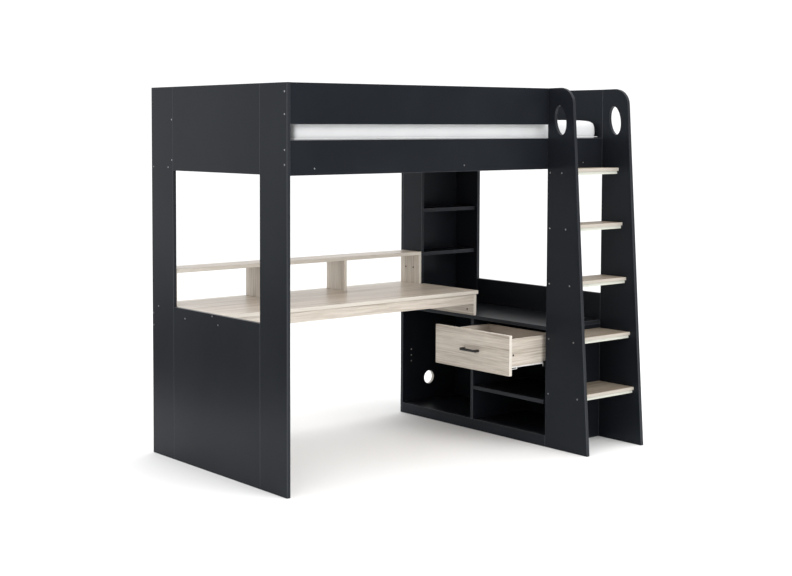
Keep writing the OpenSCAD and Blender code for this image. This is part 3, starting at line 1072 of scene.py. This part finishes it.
@dataclass
class Fasteners:
    """Screw heads with a thin dark cross of painted shade in place of the slot, and cam locks."""

    arm: float = 0.0021
    width: float = 0.0006
    depth: float = 0.00012

    def build(self) -> None:
        """Dress the fasteners and lay a dark cross of painted shade on every head."""
        zinc = PlainCoat("zinc", (0.52, 0.53, 0.54), (0.40, 0.41, 0.43), 0.28, metal=0.9)
        # The cam locks and desk fasteners are coloured near black.
        near_black_fitting = PlainCoat("dark_fitting", (0.018, 0.014, 0.011), (0.030, 0.025, 0.020), 0.45)
        paint(["panel_screws"], zinc.make())
        paint(["desk_fasteners", "drawer_cams"], near_black_fitting.make())
        # Painted shade: the slot in each head is a thin near-black cross laid on the head, not a
        # hollow.
        recess = PlainCoat("recess", (0.02, 0.02, 0.02), (0.04, 0.04, 0.04), 0.6).make()
        slots = {
            "panel_screws": "zinc",
            "desk_fasteners": "dark_fitting",
            "drawer_cams": "dark_fitting",
        }
        for node, slot in slots.items():
            source = frame["nodes"][node]
            piece = new_piece(f"{node}_recesses", self.crosses(source), recess)
            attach(piece, source["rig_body"])
            LOG.info("%s has %d faces", piece.name, len(piece.data.polygons))

    def crosses(self, source: bpy.types.Object) -> bpy.types.Mesh:
        """Draw a thin dark cross of painted shade on the widest end of every fastener.

        Args:
            source: The node that holds the fasteners.

        Returns:
            The mesh of all the crosses.
        """
        build = bmesh.new()
        for points in islands(source):
            spread = np.ptp(points, axis=0)
            unlike = [abs(spread[k - 2] - spread[k - 1]) for k in range(3)]
            along = int(np.argmin(unlike))
            first, second = (Axis(k) for k in range(3) if k != along)
            ends = []
            for sign, level in ((-1.0, points[:, along].min()), (1.0, points[:, along].max())):
                rim = points[np.abs(points[:, along] - level) < 1e-4]
                ends.append((float(np.ptp(rim, axis=0).max()), sign, rim))
            widest = max(end[0] for end in ends)
            for width, sign, rim in ends:
                if width < 0.9 * widest:
                    continue
                centre = Vector((rim.min(axis=0) + rim.max(axis=0)) / 2.0)
                outward = Vector((0.0, 0.0, 0.0))
                outward[along] = sign
                for long, short in ((first, second), (second, first)):
                    self.bar(build, centre, outward, long, short)
        mesh = bpy.data.meshes.new("crosses")
        build.to_mesh(mesh)
        build.free()
        return mesh

    def bar(
        self, build: bmesh.types.BMesh, centre: Vector, outward: Vector, long: Axis, short: Axis
    ) -> None:
        """Add one bar of a cross.

        Args:
            build: The mesh under construction.
            centre: The centre of the head.
            outward: The direction that the head faces.
            long: The axis that the bar runs along.
            short: The axis across it.
        """
        half = {long: self.arm, short: self.width}
        normal = outward * self.depth
        corners = []
        for lift in (0.0, 1.0):
            for a, b in ((-1, -1), (1, -1), (1, 1), (-1, 1)):
                point = centre + normal * lift
                point[long.value] += a * half[long]
                point[short.value] += b * half[short]
                corners.append(build.verts.new(point))
        faces = [(0, 1, 2, 3), (4, 5, 6, 7), (0, 1, 5, 4), (1, 2, 6, 5), (2, 3, 7, 6), (3, 0, 4, 7)]
        made = [build.faces.new([corners[i] for i in face]) for face in faces]
        bmesh.ops.recalc_face_normals(build, faces=made)


@dataclass(frozen=True)
class Lamp:
    """A soft square light: where it hangs, the point it faces, its side and its power in watts."""

    name: str
    at: Triple
    aim: Triple
    size: float
    power: float


@dataclass(frozen=True)
class Card:
    """A dark upright card: the two ends of its base, and the way from there to its far side."""

    name: str
    first: Triple
    second: Triple
    rise: Triple


@dataclass
class Studio:
    """A pale floor under a white sky and soft light, and the camera."""

    azimuth: float = -37.34
    pitch: float = -3.346
    camera_at: Triple = (-4.4694, -5.0510, 1.5561)
    lens: float = 63.87
    shift: tuple[float, float] = (0.1212, -0.10)
    sky_strength: float = 1.12
    sun_strength: float = 0.75
    sun_spread: float = 60.0
    floor_half: float = 60.0
    floor_drop: float = 0.0005
    lamps: tuple[Lamp, ...] = (
        Lamp("key_light", (0.8, -5.0, 4.4), (0.0, 0.0, 0.7), 3.0, 128.0),
        Lamp("fill_light", (-1.2, -6.5, 1.4), (0.3, 0.3, 0.6), 3.0, 45.0),
        Lamp("top_light", (0.4, 0.3, 5.2), (0.0, 0.1, 0.5), 3.6, 100.0),
    )
    cards: tuple[Card, ...] = (
        Card("front_flag", (-6.0, -9.0, -0.2), (14.0, -9.0, -0.2), (0.0, 0.0, 9.0)),
        Card("left_flag", (-7.5, 1.1, 0.004), (-1.75, 1.1, 0.004), (0.0, 4.7, 0.0)),
    )

    def build(self) -> None:
        """Make the floor, the lights and the camera."""
        self.floor()
        self.sky()
        self.sun()
        for lamp in self.lamps:
            self.hang(lamp)
        for card in self.cards:
            self.stand(card)
        self.camera()

    def floor(self) -> None:
        """Lay the floor, far larger than what the camera sees."""
        build = bmesh.new()
        bmesh.ops.create_grid(build, x_segments=1, y_segments=1, size=self.floor_half)
        mesh = bpy.data.meshes.new("floor")
        build.to_mesh(mesh)
        build.free()
        graph = Graph("floor_paint")
        cloud = graph.noise(graph.place, 0.8, 3.0)
        colour = graph.mix(cloud, (0.86, 0.86, 0.86), (0.88, 0.88, 0.88))
        piece = new_piece("floor", mesh, graph.finish(colour, 0.75, None, Specular_IOR_Level=0.2))
        piece.location.z = -self.floor_drop

    def sky(self) -> None:
        """Fill the world with white light."""
        world = bpy.data.worlds.new("studio")
        world.use_nodes = True
        colour, strength = world.node_tree.nodes["Background"].inputs[:2]
        colour.default_value = (1.0, 1.0, 1.0, 1.0)
        strength.default_value = self.sky_strength
        bpy.context.scene.world = world

    def sun(self) -> None:
        """Add a broad, weak sun that lights the far floor as much as the near floor."""
        data = bpy.data.lights.new("even_light", "SUN")
        data.energy = self.sun_strength
        data.angle = math.radians(self.sun_spread)
        light = bpy.data.objects.new("even_light", data)
        light.rotation_euler = (math.radians(18.0), math.radians(-14.0), 0.0)
        bpy.context.scene.collection.objects.link(light)

    def stand(self, card: Card) -> None:
        """Stand a dark card outside the view, which only shows in glossy surfaces.

        Args:
            card: The card.
        """
        build = bmesh.new()
        base = [Vector(card.first), Vector(card.second)]
        corners = base + [point + Vector(card.rise) for point in reversed(base)]
        build.faces.new([build.verts.new(corner) for corner in corners])
        mesh = bpy.data.meshes.new(card.name)
        build.to_mesh(mesh)
        build.free()
        dark = PlainCoat(card.name, (0.02, 0.02, 0.02), (0.03, 0.03, 0.03), 0.9, scale=3.0)
        piece = new_piece(card.name, mesh, dark.make())
        piece.visible_camera = False
        piece.visible_diffuse = False
        piece.visible_shadow = False

    def hang(self, lamp: Lamp) -> None:
        """Hang one soft light.

        Args:
            lamp: The light.
        """
        data = bpy.data.lights.new(lamp.name, "AREA")
        data.size = lamp.size
        data.energy = lamp.power
        light = bpy.data.objects.new(lamp.name, data)
        light.location = lamp.at
        way = Vector(lamp.aim) - Vector(lamp.at)
        light.rotation_euler = way.to_track_quat("-Z", "Y").to_euler()
        bpy.context.scene.collection.objects.link(light)

    def camera(self) -> None:
        """Set up the camera at the viewing angle."""
        data = bpy.data.cameras.new("camera")
        data.lens = self.lens
        data.sensor_width = 36.0
        data.shift_x, data.shift_y = self.shift
        data.clip_end = 200.0
        camera = bpy.data.objects.new("camera", data)
        camera.location = self.camera_at
        camera.rotation_euler = (
            math.radians(90.0 + self.pitch), 0.0, math.radians(self.azimuth)
        )
        bpy.context.scene.collection.objects.link(camera)
        bpy.context.scene.camera = camera
        bpy.context.scene.view_settings.view_transform = "Standard"


# ---------------------------------------------------------------- small tools


def paint(names: list[str], material: bpy.types.Material) -> None:
    """Give nodes of the frame a finish.

    Args:
        names: The nodes.
        material: The finish.
    """
    for name in names:
        slots = frame["nodes"][name].material_slots
        for slot in slots:
            slot.material = material
        LOG.info("%s is dressed in %s", name, material.name)


def vertices(piece: bpy.types.Object) -> np.ndarray:
    """Read a piece's vertices.

    Args:
        piece: The piece.

    Returns:
        An array with a row for each vertex.
    """
    flat = np.zeros(len(piece.data.vertices) * 3)
    piece.data.vertices.foreach_get("co", flat)
    return flat.reshape(-1, 3)


def write_vertices(piece: bpy.types.Object, points: np.ndarray) -> None:
    """Move a piece's vertices.

    Args:
        piece: The piece.
        points: A row for each vertex.
    """
    piece.data.vertices.foreach_set("co", points.ravel())
    piece.data.update()


def islands(source: bpy.types.Object) -> list[np.ndarray]:
    """Split a mesh into its loose solids.

    Args:
        source: The object.

    Returns:
        The points of each solid.
    """
    build = bmesh.new()
    build.from_mesh(source.data)
    bmesh.ops.remove_doubles(build, verts=build.verts, dist=1e-6)
    seen: set[int] = set()
    groups = []
    build.verts.ensure_lookup_table()
    for vert in build.verts:
        if vert.index in seen:
            continue
        stack, group = [vert], []
        seen.add(vert.index)
        while stack:
            here = stack.pop()
            group.append(tuple(here.co))
            for edge in here.link_edges:
                there = edge.other_vert(here)
                if there.index not in seen:
                    seen.add(there.index)
                    stack.append(there)
        groups.append(np.array(group))
    build.free()
    return groups


def main() -> None:
    """Build and dress every sub-assembly in order."""
    logging.basicConfig(level=logging.INFO, format="%(name)s: %(message)s")
    Studio().build()
    Boards().dress()
    StepLadder().build()
    SleepingDeck().dress()
    mattress = Mattress().build()
    LOG.info("%s has %d faces", mattress.name, len(mattress.data.polygons))
    Drawer().build()
    Fasteners().build()


if __name__ == "__main__":
    main()
